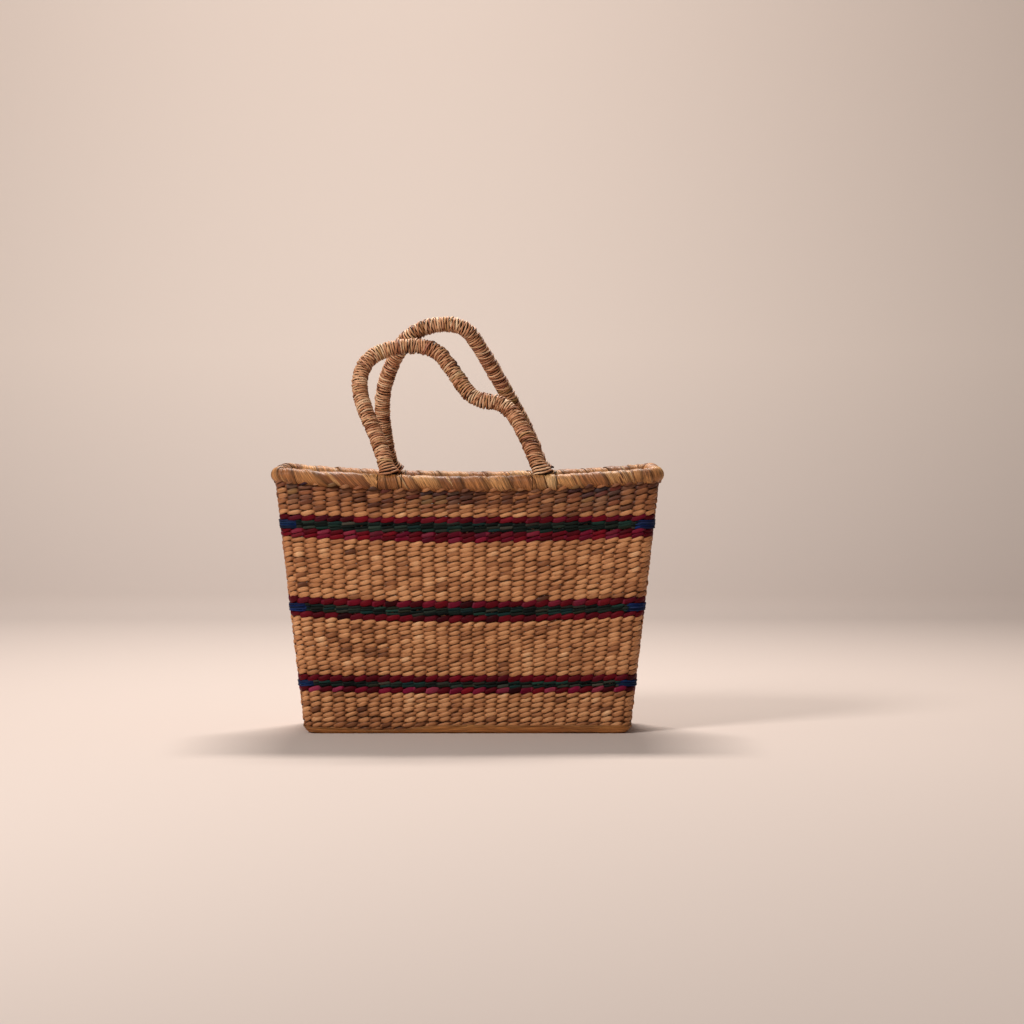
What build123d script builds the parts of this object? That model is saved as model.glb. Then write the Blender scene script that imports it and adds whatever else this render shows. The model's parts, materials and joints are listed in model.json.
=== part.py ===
from build123d import *
import math
import os

os.makedirs("parts", exist_ok=True)

# A rectangular market basket of twined straw. Stakes run up the walls and across the base, rows
# of weft are twined round them in bands, and the mouth is finished with a wrapped roll. Two hoop
# handles are looped round the roll and lean against each other over the mouth.
#
# +Z is up, +X is along the basket and the front wall faces -Y. The origin is on the floor under
# the middle of the basket. Sizes are millimetres.

# The body, measured on the outside of its walls
wall_height = 256.0  # height at which the top sizes hold
base_half_length = 167.0
base_half_depth = 64.0
top_half_length = 195.5
top_half_depth = 78.0
wall_thickness = 6.0
floor_thickness = 8.0
wall_corner_radius = 14.0
base_round = 12.0  # turn from the base into the walls
blank_height = 272.0  # the walls are cut from a taller blank
row_gap = 0.1  # left between neighbouring bands

# Stakes
stake_radius = 1.5
channel_radius = 1.6
columns_long = 28  # spaces between stakes along each long wall
columns_short = 10
cross_stake_height = 2.8  # height of the front to back stakes under the base
long_stake_height = 6.0  # the end to end stakes cross over them
stake_bend = 9.0
stake_end_drop = 9.6  # the stakes stop this far below the axis of the roll

# The roll round the mouth
rim_half_length = 192.5
rim_half_depth = 75.0
rim_corner_height = 265.5
rim_sag = 9.0  # droop of the long sides in the middle
rim_corner_radius = 13.0
rim_bend_radius = 150.0
core_radius = 5.0
wrap_inner_radius = 5.1
wrap_radius = 7.5
wall_seat = 5.9  # the walls end this far below the axis of the roll
slot_gap = 0.1

# The handles
foot_spacing = 79.0  # from the middle of the basket to each foot
journal_height = 258.0  # height of the roll's axis at the feet
journal_clearance = 0.06
eye_width = 24.0
wrap_gap = 25.0
notch_radius = 8.0  # the walls stand clear of the eyes
handle_core_radius = 4.5
winding_inner_radius = 4.55
winding_radius = 8.0
foot_radius = 12.0
foot_start_radius = 8.3  # the lashings stand clear of the roll
foot_end = 20.0
winding_start = 20.3
handle_lean = 24.5  # degrees from upright, towards the other handle
front_handle_points = [
    (-79, 0),
    (-87, 38),
    (-112, 95),
    (-110, 132),
    (-84, 151),
    (-36, 154),
    (-15, 125),
    (5, 91),
    (38, 89),
    (58, 59),
    (79, 0),
]
back_handle_points = [
    (-79, 0),
    (-87, 38),
    (-92, 88),
    (-83, 126),
    (-60, 172),
    (-6, 181),
    (16, 145),
    (42, 95),
    (65, 48),
    (79, 0),
]

# Edges of the bands of weft from the base up: height at the corners, height in the middle
base_top = (13.0, 12.5)
lower_stripe = [(45.5, 41.5), (50.5, 47.5), (56.0, 53.5), (62.0, 60.0)]
middle_stripe = [(124.0, 115.0), (129.5, 121.5), (136.5, 130.0), (143.0, 136.5)]
upper_stripe = [(205.0, 197.0), (212.5, 207.0), (221.0, 216.5), (226.0, 222.5)]
wall_top = (rim_corner_height - wall_seat, rim_corner_height - rim_sag - wall_seat)
blue_run = 17.0  # how far the end walls' blue comes round onto the long walls
edge_strand = 1.8
edge_strand_bottom = 0.8


def half_length(height):
    return base_half_length + (top_half_length - base_half_length) * height / wall_height


def half_depth(height):
    return base_half_depth + (top_half_depth - base_half_depth) * height / wall_height


def rim_height(x):
    """Height of the roll's axis over the long walls."""
    return rim_corner_height - rim_sag * (1 - (x / rim_half_length) ** 2)


def tapered_form(grow, bottom, bottom_round):
    """Solid with the walls' taper, its faces moved out by grow."""
    with BuildPart() as form:
        for height in (bottom, blank_height):
            with BuildSketch(Plane.XY.offset(height)):
                RectangleRounded(
                    2 * (half_length(height) + grow),
                    2 * (half_depth(height) + grow),
                    wall_corner_radius + grow,
                )
        loft(ruled=True)
        if bottom_round:
            fillet(form.faces().sort_by(Axis.Z)[0].edges(), bottom_round)
    return form.part


def sagging_slab(lower, upper):
    """Block right across the basket whose faces sag in the middle as the rows do."""
    reach = base_half_length + 45
    with BuildPart() as slab:
        with BuildSketch(Plane.XZ):
            with BuildLine():
                ThreePointArc((-reach, lower[0]), (0, lower[1]), (reach, lower[0]))
                Line((reach, lower[0]), (reach, upper[0]))
                ThreePointArc((reach, upper[0]), (0, upper[1]), (-reach, upper[0]))
                Line((-reach, upper[0]), (-reach, lower[0]))
            make_face()
        extrude(amount=150, both=True)
    return slab.part


def u_stakes(routes, radius):
    """Rods that each run down one wall, across the base and up the wall opposite."""
    with BuildPart() as rods:
        for route in routes:
            with BuildLine() as path:
                FilletPolyline(*route, radius=stake_bend)
            with BuildSketch(Plane(origin=path.line @ 0, z_dir=path.line % 0)):
                Circle(radius)
            sweep(path=path.line)
    return rods.part


def leaning_rods(routes, radius):
    """Straight rods from a foot to a top."""
    with BuildPart() as rods:
        for foot, top in routes:
            with BuildLine() as path:
                Line(foot, top)
            with BuildSketch(Plane(origin=foot, z_dir=path.line % 0)):
                Circle(radius)
            sweep(path=path.line)
    return rods.part


def arc_radii(points):
    """The largest arc at each inner point of a route that leaves part of each run straight."""
    radii = []
    for before, here, after in zip(points, points[1:], points[2:]):
        run_in = (here[0] - before[0], here[1] - before[1])
        run_out = (after[0] - here[0], after[1] - here[1])
        shorter = min(math.hypot(*run_in), math.hypot(*run_out))
        turn = math.atan2(run_out[1], run_out[0]) - math.atan2(run_in[1], run_in[0])
        turn = abs((turn + math.pi) % (2 * math.pi) - math.pi)
        radii.append(0.45 * shorter / math.tan(turn / 2))
    return radii


def moved_along(start, towards, distance):
    """The point at a distance from start on the way to another point."""
    length = math.dist(start, towards)
    return tuple(a + (b - a) * distance / length for a, b in zip(start, towards))


# ---- Stakes -------------------------------------------------------------------------------
half_wall = wall_thickness / 2
middle_columns = columns_long // 2
cross_routes = []
for column in range(1 - middle_columns, middle_columns):
    share = column / middle_columns
    foot_x = share * (half_length(cross_stake_height) - half_wall)
    top_x = share * (half_length(wall_height) - half_wall)
    top_z = rim_height(top_x) - stake_end_drop
    foot_y = half_depth(cross_stake_height) - half_wall
    top_y = half_depth(top_z) - half_wall
    cross_routes.append(
        [
            (top_x, -top_y, top_z),
            (foot_x, -foot_y, cross_stake_height),
            (foot_x, foot_y, cross_stake_height),
            (top_x, top_y, top_z),
        ]
    )

end_columns = columns_short // 2
long_routes = []
long_top_z = rim_corner_height - stake_end_drop
for column in range(1 - end_columns, end_columns):
    share = column / end_columns
    foot_y = share * (half_depth(long_stake_height) - half_wall)
    top_y = share * (half_depth(long_top_z) - half_wall)
    foot_x = half_length(long_stake_height) - half_wall
    top_x = half_length(long_top_z) - half_wall
    long_routes.append(
        [
            (-top_x, top_y, long_top_z),
            (-foot_x, foot_y, long_stake_height),
            (foot_x, foot_y, long_stake_height),
            (top_x, top_y, long_top_z),
        ]
    )

# The corner stakes stand in the middle of the corners' thickness
corner_foot_z = base_round
corner_inset = wall_corner_radius - (wall_corner_radius - half_wall) * math.sqrt(0.5)
corner_routes = []
for side_x in (-1, 1):
    for side_y in (-1, 1):
        foot = (
            side_x * (half_length(corner_foot_z) - corner_inset),
            side_y * (half_depth(corner_foot_z) - corner_inset),
            corner_foot_z,
        )
        top = (
            side_x * (half_length(long_top_z) - corner_inset),
            side_y * (half_depth(long_top_z) - corner_inset),
            long_top_z,
        )
        corner_routes.append((foot, top))

for label, maker, routes in (
    ("front_to_back_stakes", u_stakes, cross_routes),
    ("end_to_end_stakes", u_stakes, long_routes),
    ("corner_stakes", leaning_rods, corner_routes),
):
    with BuildPart() as stakes:
        add(maker(routes, stake_radius))
    stakes.part.label = label
    export_step(stakes.part, f"parts/{label}.step")

# ---- Walls and base, before they are divided into bands -------------------------------------
outer_form = tapered_form(0, 0, base_round)
inner_form = tapered_form(-wall_thickness, floor_thickness, wall_thickness)
with BuildPart() as shell:
    add(outer_form)
    add(inner_form, mode=Mode.SUBTRACT)
    add(u_stakes(cross_routes, channel_radius), mode=Mode.SUBTRACT)
    add(u_stakes(long_routes, channel_radius), mode=Mode.SUBTRACT)
    add(leaning_rods(corner_routes, channel_radius), mode=Mode.SUBTRACT)

with BuildPart() as base_mat:
    add(shell.part)
    add(sagging_slab((-30, -31), base_top), mode=Mode.INTERSECT)
base_mat.part.label = "base_mat"
export_step(base_mat.part, "parts/base_mat.step")

with BuildPart() as base_edge:
    add(tapered_form(edge_strand, 0, base_round))
    add(tapered_form(row_gap, 0, base_round), mode=Mode.SUBTRACT)
    add(
        sagging_slab((edge_strand_bottom, edge_strand_bottom - 0.1), base_top),
        mode=Mode.INTERSECT,
    )
base_edge.part.label = "base_edge_strand"
export_step(base_edge.part, "parts/base_edge_strand.step")

# ---- Bands of plain straw ---------------------------------------------------------------------
feet = [(x, y) for x in (-foot_spacing, foot_spacing) for y in (-rim_half_depth, rim_half_depth)]
for label, lower, upper in (
    ("lower_weave", base_top, lower_stripe[0]),
    ("lower_middle_weave", lower_stripe[-1], middle_stripe[0]),
    ("upper_middle_weave", middle_stripe[-1], upper_stripe[0]),
    ("upper_weave", upper_stripe[-1], wall_top),
):
    with BuildPart() as band:
        add(shell.part)
        raised = (lower[0] + row_gap, lower[1] + row_gap)
        add(sagging_slab(raised, upper), mode=Mode.INTERSECT)
        if label == "upper_weave":
            for foot_x, foot_y in feet:
                with Locations(Plane((foot_x, foot_y, journal_height), z_dir=(1, 0, 0))):
                    Cylinder(notch_radius, wrap_gap + 2, mode=Mode.SUBTRACT)
    band.part.label = label
    export_step(band.part, f"parts/{label}.step")

# ---- Coloured stripes: a dyed row above and below a row that is green on the long walls and
# blue on the end walls
for name, edges in (("lower", lower_stripe), ("middle", middle_stripe), ("upper", upper_stripe)):
    raised = [(corner + row_gap, middle + row_gap) for corner, middle in edges]
    blue_start = half_length(edges[1][0]) - blue_run
    for row, lower, upper in (
        ("maroon_below", raised[0], edges[1]),
        ("green", raised[1], edges[2]),
        ("blue", raised[1], edges[2]),
        ("maroon_above", raised[2], edges[3]),
    ):
        with BuildPart() as stripe:
            add(shell.part)
            add(sagging_slab(lower, upper), mode=Mode.INTERSECT)
            if row == "green":
                Box(2 * (blue_start - row_gap), 400, 600, mode=Mode.INTERSECT)
            if row == "blue":
                Box(2 * blue_start, 400, 600, mode=Mode.SUBTRACT)
        stripe.part.label = f"{name}_stripe_{row}"
        export_step(stripe.part, f"parts/{name}_stripe_{row}.step")

# ---- The roll round the mouth -------------------------------------------------------------------
# Its axis droops along the long sides, and runs straight and level through the four feet
journal_end = foot_spacing + 20
journal_start = foot_spacing - 20
middle_run = 25.0
long_side = [
    (-rim_half_length, rim_corner_height),
    (-journal_end, journal_height),
    (-journal_start, journal_height),
    (-middle_run, rim_corner_height - rim_sag),
    (middle_run, rim_corner_height - rim_sag),
    (journal_start, journal_height),
    (journal_end, journal_height),
    (rim_half_length, rim_corner_height),
]
rim_points = [(x, -rim_half_depth, z) for x, z in long_side]
rim_points += [(x, rim_half_depth, z) for x, z in reversed(long_side)]
side_radii = [rim_corner_radius] + [rim_bend_radius] * 6 + [rim_corner_radius]

with BuildLine() as rim_path:
    FilletPolyline(*rim_points, radius=side_radii * 2, close=True)
rim_start = Plane(origin=rim_path.line @ 0, z_dir=rim_path.line % 0)

with BuildPart() as rim_core:
    with BuildSketch(rim_start):
        Circle(core_radius)
    sweep(path=rim_path.line)
rim_core.part.label = "rim_core"
export_step(rim_core.part, "parts/rim_core.step")

# The wrapping closes on the core, and its lower side takes the top edge of the walls
with BuildPart() as wall_slot:
    add(tapered_form(slot_gap, 200, 0))
    add(tapered_form(-wall_thickness - slot_gap, 190, 0), mode=Mode.SUBTRACT)
    add(
        sagging_slab((190, 189), (wall_top[0] + slot_gap, wall_top[1] + slot_gap)),
        mode=Mode.INTERSECT,
    )

with BuildPart() as wrap_tube:
    with BuildSketch(rim_start):
        Circle(wrap_radius)
        Circle(wrap_inner_radius, mode=Mode.SUBTRACT)
    sweep(path=rim_path.line)
    add(wall_slot.part, mode=Mode.SUBTRACT)

wrap_inner_end = foot_spacing - wrap_gap / 2
wrap_outer_end = foot_spacing + wrap_gap / 2
wrap_reach = 150.0
for label, corner, sizes in (
    ("rim_wrap_front", (-wrap_inner_end, -wrap_reach), (2 * wrap_inner_end, wrap_reach)),
    ("rim_wrap_back", (-wrap_inner_end, 0), (2 * wrap_inner_end, wrap_reach)),
    ("rim_wrap_left", (-wrap_outer_end - wrap_reach, -wrap_reach), (wrap_reach, 2 * wrap_reach)),
    ("rim_wrap_right", (wrap_outer_end, -wrap_reach), (wrap_reach, 2 * wrap_reach)),
):
    with BuildPart() as rim_wrap:
        add(wrap_tube.part)
        with Locations((corner[0], corner[1], 0)):
            Box(
                *sizes,
                400,
                align=(Align.MIN, Align.MIN, Align.MIN),
                mode=Mode.INTERSECT,
            )
    rim_wrap.part.label = label
    export_step(rim_wrap.part, f"parts/{label}.step")

# ---- Handles -----------------------------------------------------------------------------------
lean_sine = math.sin(math.radians(handle_lean))
lean_cosine = math.cos(math.radians(handle_lean))
for name, side, points in (
    ("front_handle", -1, front_handle_points),
    ("back_handle", 1, back_handle_points),
):
    foot_y = side * rim_half_depth
    # In this plane y runs up the leaning handle
    handle_plane = Plane(
        origin=(0, foot_y, journal_height),
        x_dir=(1, 0, 0),
        z_dir=(0, -lean_cosine, -side * lean_sine),
    )
    radii = arc_radii(points)

    # The core is a bundle of straw with an eye at each end that is looped round the roll's core
    with BuildPart() as core:
        with BuildLine(handle_plane) as path:
            FilletPolyline(*points, radius=radii)
        with BuildSketch(Plane(origin=path.line @ 0, z_dir=path.line % 0)):
            Circle(handle_core_radius)
        sweep(path=path.line)
        for foot_x in (-foot_spacing, foot_spacing):
            with Locations(Plane((foot_x, foot_y, journal_height), z_dir=(1, 0, 0))):
                Cylinder(wrap_radius, eye_width)
                Cylinder(core_radius + journal_clearance, 2 * eye_width, mode=Mode.SUBTRACT)
    core.part.label = f"{name}_core"
    export_step(core.part, f"parts/{name}_core.step")
    print(name, "length", round(path.wire().length, 1), "arcs", [round(r, 1) for r in radii])

    with BuildPart() as winding:
        with BuildLine(handle_plane) as wound_path:
            wound_points = [
                moved_along(points[0], points[1], winding_start),
                *points[1:-1],
                moved_along(points[-1], points[-2], winding_start),
            ]
            FilletPolyline(*wound_points, radius=radii)
        with BuildSketch(Plane(origin=wound_path.line @ 0, z_dir=wound_path.line % 0)):
            Circle(winding_radius)
            Circle(winding_inner_radius, mode=Mode.SUBTRACT)
        sweep(path=wound_path.line)
    winding.part.label = f"{name}_winding"
    export_step(winding.part, f"parts/{name}_winding.step")

    # Each foot flares where the lashing binds the eye
    for end, foot, knee in (("left", points[0], points[1]), ("right", points[-1], points[-2])):
        foot_x = foot[0]
        leg = (Vector(*knee) - Vector(*foot)).normalized()
        leg_direction = handle_plane.x_dir * leg.X + handle_plane.y_dir * leg.Y
        leg_plane = Plane(
            origin=(foot_x, foot_y, journal_height),
            x_dir=leg_direction.cross(handle_plane.z_dir),
            z_dir=handle_plane.z_dir,
        )
        with BuildPart() as lashing:
            with BuildSketch(leg_plane):
                Polygon(
                    (winding_inner_radius, 4),
                    (foot_radius, 4),
                    (foot_radius, 9),
                    (winding_radius + 0.6, foot_end),
                    (winding_inner_radius, foot_end),
                    align=None,
                )
            revolve(axis=Axis(leg_plane.origin, leg_direction))
            with Locations(Plane((foot_x, foot_y, journal_height), z_dir=(1, 0, 0))):
                Cylinder(foot_start_radius, 4 * foot_radius, mode=Mode.SUBTRACT)
        lashing.part.label = f"{name}_{end}_lashing"
        export_step(lashing.part, f"parts/{name}_{end}_lashing.step")
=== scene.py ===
import json
import math

import bpy
import numpy as np
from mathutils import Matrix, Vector


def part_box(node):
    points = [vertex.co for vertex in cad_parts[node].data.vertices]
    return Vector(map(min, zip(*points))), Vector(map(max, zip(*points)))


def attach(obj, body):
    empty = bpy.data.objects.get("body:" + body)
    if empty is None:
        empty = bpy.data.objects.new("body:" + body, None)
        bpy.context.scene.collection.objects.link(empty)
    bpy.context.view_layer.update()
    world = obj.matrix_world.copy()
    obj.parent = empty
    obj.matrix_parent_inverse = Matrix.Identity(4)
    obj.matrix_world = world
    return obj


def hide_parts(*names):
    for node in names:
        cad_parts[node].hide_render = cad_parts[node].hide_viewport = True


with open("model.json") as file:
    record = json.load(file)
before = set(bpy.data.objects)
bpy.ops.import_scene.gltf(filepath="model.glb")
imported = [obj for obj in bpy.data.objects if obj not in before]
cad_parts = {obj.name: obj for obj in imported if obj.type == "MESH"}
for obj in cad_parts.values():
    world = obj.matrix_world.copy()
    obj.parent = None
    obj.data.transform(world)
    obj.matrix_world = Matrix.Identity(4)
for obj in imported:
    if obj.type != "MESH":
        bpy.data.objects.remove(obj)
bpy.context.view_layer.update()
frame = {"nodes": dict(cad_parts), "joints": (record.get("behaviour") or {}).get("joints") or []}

# The looks of a twined straw market basket, built round its CAD frame. Everything is in metres.
# +Z is up, +X is along the basket and the front wall faces -Y.

rng = np.random.default_rng(23)
mm = 0.001


# ---- Meshes -----------------------------------------------------------------------------------
class Strands:
    """Straw strands gathered into one mesh, each a closed tube with its own straw numbers."""

    def __init__(self):
        self.points = []
        self.quads = []
        self.fibre = []
        self.straw = []
        self.count = 0

    def add(self, rings, length, straw, closed=False):
        """Joins rings of points, shaped (rings, sides, 3), into a tube.

        length is how far along the strand each ring is, and straw each ring's tone, hue and stain.
        """
        steps, sides = rings.shape[:2]
        spans = steps if closed else steps - 1
        here = np.arange(spans)[:, None]
        there = (here + 1) % steps
        side = np.arange(sides)[None, :]
        after = (side + 1) % sides
        corners = (
            here * sides + side,
            there * sides + side,
            there * sides + after,
            here * sides + after,
        )
        quads = np.stack(corners, axis=-1).reshape(-1, 4)
        near = length[:spans, None] + 0 * side
        far = np.append(length[1:], 2 * length[-1] - length[-2])[:spans, None] + 0 * side
        low = side / sides + 0 * here
        high = low + 1 / sides
        fibre = np.stack([near, low, far, low, far, high, near, high], -1).reshape(-1, 4, 2)

        along = rings[1] - rings[0]
        around = np.roll(rings[0], -1, axis=0) - rings[0]
        faces_out = (np.cross(along, around) * (rings[0] - rings[0].mean(0))).sum() > 0
        if not faces_out:
            quads = quads[:, ::-1]
            fibre = fibre[:, ::-1]
        self.quads.append(quads + self.count)
        self.fibre.append(fibre)
        if not closed:
            pair = np.arange(sides // 2 - 1)
            cap = np.stack([pair, pair + 1, sides - 2 - pair, sides - 1 - pair], axis=-1)
            first, last = cap, cap[:, ::-1] + (steps - 1) * sides
            if not faces_out:
                first, last = first[:, ::-1], last[:, ::-1]
            self.quads += [first + self.count, last + self.count]
            self.fibre.append(np.full((2 * len(pair), 4, 2), length[0]))
        self.points.append(rings.reshape(-1, 3))
        self.straw.append(np.repeat(straw, sides, axis=0))
        self.count += steps * sides

    def piece(self, name, material, body, slot, *nodes):
        """Makes the Blender object, hangs it on its body's empty and hides the frame's nodes it stands
        for.
        """
        mesh = bpy.data.meshes.new(name)
        mesh.from_pydata(np.concatenate(self.points), [], np.concatenate(self.quads))
        layer = mesh.uv_layers.new(name="fibre")
        layer.uv.foreach_set("vector", np.concatenate(self.fibre).astype(np.float32).ravel())
        straw = np.concatenate(self.straw)
        straw = np.concatenate([straw, np.ones((len(straw), 1))], axis=1)
        attribute = mesh.attributes.new("straw", "FLOAT_COLOR", "POINT")
        attribute.data.foreach_set("color", straw.astype(np.float32).ravel())
        mesh.polygons.foreach_set("use_smooth", np.ones(len(mesh.polygons), bool))
        mesh.materials.append(material)
        mesh.update()
        obj = bpy.data.objects.new(name, mesh)
        bpy.context.scene.collection.objects.link(obj)
        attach(obj, body)
        if nodes:
            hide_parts(*nodes)
        return obj


def tube_rings(middle, across, up, half_across, half_up, sides, folds=0.06):
    """Rings of points round a line: an oval with a few lengthwise folds."""
    angle = np.linspace(0, 2 * math.pi, sides, endpoint=False)[None, :]
    fold = 1 + folds * np.cos(3 * angle + rng.uniform(0, 6))
    wide = np.asarray(half_across)[:, None] * np.cos(angle) * fold
    tall = np.asarray(half_up)[:, None] * np.sin(angle) * fold
    return middle[:, None] + wide[..., None] * across[:, None] + tall[..., None] * up[:, None]


def unit(vectors):
    return vectors / np.linalg.norm(vectors, axis=-1, keepdims=True)


def wander(size, count, knots):
    """Smooth random wandering between -size and size over count samples."""
    heights = rng.uniform(-size, size, knots + 2)
    place = np.linspace(0, knots, count)
    low = np.floor(place).astype(int)
    part = place - low
    part = part * part * (3 - 2 * part)
    return heights[low] * (1 - part) + heights[np.minimum(low + 1, knots + 1)] * part


# ---- Materials --------------------------------------------------------------------------------
def linear(red, green, blue):
    """A colour given in display values from 0 to 255, as scene-linear RGBA."""
    values = [c / 255 for c in (red, green, blue)]
    values = [c / 12.92 if c <= 0.04045 else ((c + 0.055) / 1.055) ** 2.4 for c in values]
    return (*values, 1.0)


def ramp(nodes, colours):
    """A colour ramp with its stops evenly spread."""
    node = nodes.new("ShaderNodeValToRGB")
    stops = node.color_ramp.elements
    while len(stops) < len(colours):
        stops.new(0.5)
    for i, colour in enumerate(colours):
        stops[i].position = i / (len(colours) - 1)
        stops[i].color = linear(*colour)
    return node


def math_node(nodes, links, operation, first, second=0.0, third=0.0):
    """A maths node whose inputs are numbers or other nodes' outputs."""
    node = nodes.new("ShaderNodeMath")
    node.operation = operation
    for socket, value in zip(node.inputs, (first, second, third)):
        if isinstance(value, (int, float)):
            socket.default_value = value
        else:
            links.new(value, socket)
    return node.outputs["Value"]


def straw_material(name, tones, stains, rough=0.5, relief=0.25, streaks=0.35, edge_shade=0.55,
                   fibre_scale=(90, 18), specular=0.25):
    """Straw: a tone for each stitch, fine fibres along it, painted shade on its edges, and stains.

    The straw attribute holds the stitch's tone, its stain's hue and how far it is stained. The
    fibre map runs along the strand in metres and once round it, with its seam on an edge, and
    fibre_scale is how many fibres there are in a metre of strand and once round it.
    """
    material = bpy.data.materials.new(name)
    material.use_nodes = True
    nodes, links = material.node_tree.nodes, material.node_tree.links
    shader = nodes["Principled BSDF"]
    shader.inputs["Specular IOR Level"].default_value = specular

    straw = nodes.new("ShaderNodeAttribute")
    straw.attribute_name = "straw"
    parts = nodes.new("ShaderNodeSeparateColor")
    links.new(straw.outputs["Color"], parts.inputs["Color"])

    # Fibres: noise stretched along the strand, different in each stitch
    place = nodes.new("ShaderNodeUVMap")
    place.uv_map = "fibre"
    stretch = nodes.new("ShaderNodeVectorMath")
    stretch.operation = "MULTIPLY"
    stretch.inputs[1].default_value = (*fibre_scale, 1)
    links.new(place.outputs["UV"], stretch.inputs[0])
    apart = nodes.new("ShaderNodeVectorMath")
    apart.operation = "MULTIPLY_ADD"
    apart.inputs[1].default_value = (7, 5, 3)
    links.new(straw.outputs["Color"], apart.inputs[0])
    links.new(stretch.outputs["Vector"], apart.inputs[2])
    fibres = nodes.new("ShaderNodeTexNoise")
    fibres.inputs["Scale"].default_value = 1.0
    fibres.inputs["Detail"].default_value = 3.0
    fibres.inputs["Roughness"].default_value = 0.62
    links.new(apart.outputs["Vector"], fibres.inputs["Vector"])

    # Blotches of age drift over many stitches
    object_place = nodes.new("ShaderNodeTexCoord")
    blotches = nodes.new("ShaderNodeTexNoise")
    blotches.inputs["Scale"].default_value = 26.0
    blotches.inputs["Detail"].default_value = 2.0
    links.new(object_place.outputs["Object"], blotches.inputs["Vector"])

    drift = math_node(nodes, links, "MULTIPLY_ADD", blotches.outputs["Fac"], 0.5, -0.25)
    tone = math_node(nodes, links, "ADD", drift, parts.outputs["Red"])
    colours = ramp(nodes, tones)
    links.new(tone, colours.inputs["Fac"])
    stained = ramp(nodes, stains)
    links.new(parts.outputs["Green"], stained.inputs["Fac"])
    mixed = nodes.new("ShaderNodeMix")
    mixed.data_type = "RGBA"
    links.new(parts.outputs["Blue"], mixed.inputs[0])
    links.new(colours.outputs["Color"], mixed.inputs[6])
    links.new(stained.outputs["Color"], mixed.inputs[7])

    # Furrows between fibres are darker, and the strand's tucked-in edges are darkened as painted shade
    furrow = nodes.new("ShaderNodeMapRange")
    furrow.inputs["From Min"].default_value = 0.3
    furrow.inputs["From Max"].default_value = 0.65
    furrow.inputs["To Min"].default_value = 1.0 - streaks
    furrow.inputs["To Max"].default_value = 1.0 + streaks * 0.3
    links.new(fibres.outputs["Fac"], furrow.inputs["Value"])
    around = nodes.new("ShaderNodeSeparateXYZ")
    links.new(place.outputs["UV"], around.inputs["Vector"])
    turn = math_node(nodes, links, "MULTIPLY", around.outputs["Y"], 2 * math.pi)
    face = math_node(nodes, links, "ABSOLUTE", math_node(nodes, links, "SINE", turn))
    # Painted shade: the colour darkens towards the strand's edges, where it tucks in beside its
    # neighbours
    edge = nodes.new("ShaderNodeMapRange")
    edge.interpolation_type = "SMOOTHSTEP"
    edge.inputs["From Min"].default_value = 0.0
    edge.inputs["From Max"].default_value = 0.8
    edge.inputs["To Min"].default_value = 1.0 - edge_shade
    edge.inputs["To Max"].default_value = 1.0
    links.new(face, edge.inputs["Value"])
    shade = math_node(nodes, links, "MULTIPLY", furrow.outputs["Result"], edge.outputs["Result"])
    shaded = nodes.new("ShaderNodeVectorMath")
    shaded.operation = "SCALE"
    links.new(mixed.outputs[2], shaded.inputs["Vector"])
    links.new(shade, shaded.inputs["Scale"])
    links.new(shaded.outputs["Vector"], shader.inputs["Base Color"])

    gloss = nodes.new("ShaderNodeMapRange")
    gloss.inputs["To Min"].default_value = rough + 0.15
    gloss.inputs["To Max"].default_value = rough - 0.1
    links.new(fibres.outputs["Fac"], gloss.inputs["Value"])
    links.new(gloss.outputs["Result"], shader.inputs["Roughness"])
    bump = nodes.new("ShaderNodeBump")
    bump.inputs["Strength"].default_value = 0.8
    bump.inputs["Distance"].default_value = relief * mm
    links.new(fibres.outputs["Fac"], bump.inputs["Height"])
    links.new(bump.outputs["Normal"], shader.inputs["Normal"])
    return material


natural_straw = straw_material(
    "Natural straw",
    [(84, 42, 22), (156, 98, 60), (194, 132, 86), (212, 152, 104), (234, 184, 138)],
    [(52, 24, 40), (66, 60, 54), (112, 34, 30), (120, 98, 56)],
    edge_shade=0.72,
)
broad_straw = straw_material(
    "Broad straw",
    [(80, 38, 20), (176, 114, 66), (214, 154, 96), (246, 202, 146)],
    [(72, 30, 20), (150, 82, 58)],
    rough=0.42,
    relief=0.8,
    streaks=0.9,
    edge_shade=0.6,
    fibre_scale=(40, 90),
)
edge_straw = straw_material(
    "Edge straw",
    [(136, 74, 36), (198, 124, 66), (222, 154, 88), (238, 182, 120)],
    [(96, 44, 26), (150, 84, 50)],
    relief=0.7,
    streaks=0.7,
    edge_shade=0.5,
    fibre_scale=(55, 50),
)
# Its darkest tone serves the handles' lining, as painted shade between the turns
wound_straw = straw_material(
    "Wound straw",
    [(50, 22, 12), (150, 90, 58), (202, 140, 100), (230, 176, 134), (248, 210, 170)],
    [(96, 36, 26), (222, 146, 120), (210, 154, 112), (186, 156, 84), (142, 84, 52)],
    streaks=0.5,
    edge_shade=0.88,
)
maroon_straw = straw_material(
    "Maroon straw",
    [(36, 1, 6), (76, 4, 16), (100, 8, 22), (122, 14, 28)],
    [(114, 8, 44), (138, 25, 64), (160, 64, 90), (108, 24, 18)],
    edge_shade=0.45,
    specular=0.08,
)
green_straw = straw_material(
    "Green straw",
    [(7, 10, 10), (13, 19, 17), (20, 29, 25), (31, 47, 38)],
    [(14, 48, 52), (34, 70, 60), (86, 78, 68), (34, 40, 20)],
    edge_shade=0.45,
    specular=0.08,
)
blue_straw = straw_material(
    "Blue straw",
    [(6, 10, 30), (8, 18, 56), (12, 30, 82), (22, 48, 104)],
    [(8, 44, 66), (22, 66, 82), (70, 76, 98)],
    edge_shade=0.45,
    specular=0.08,
)


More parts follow.
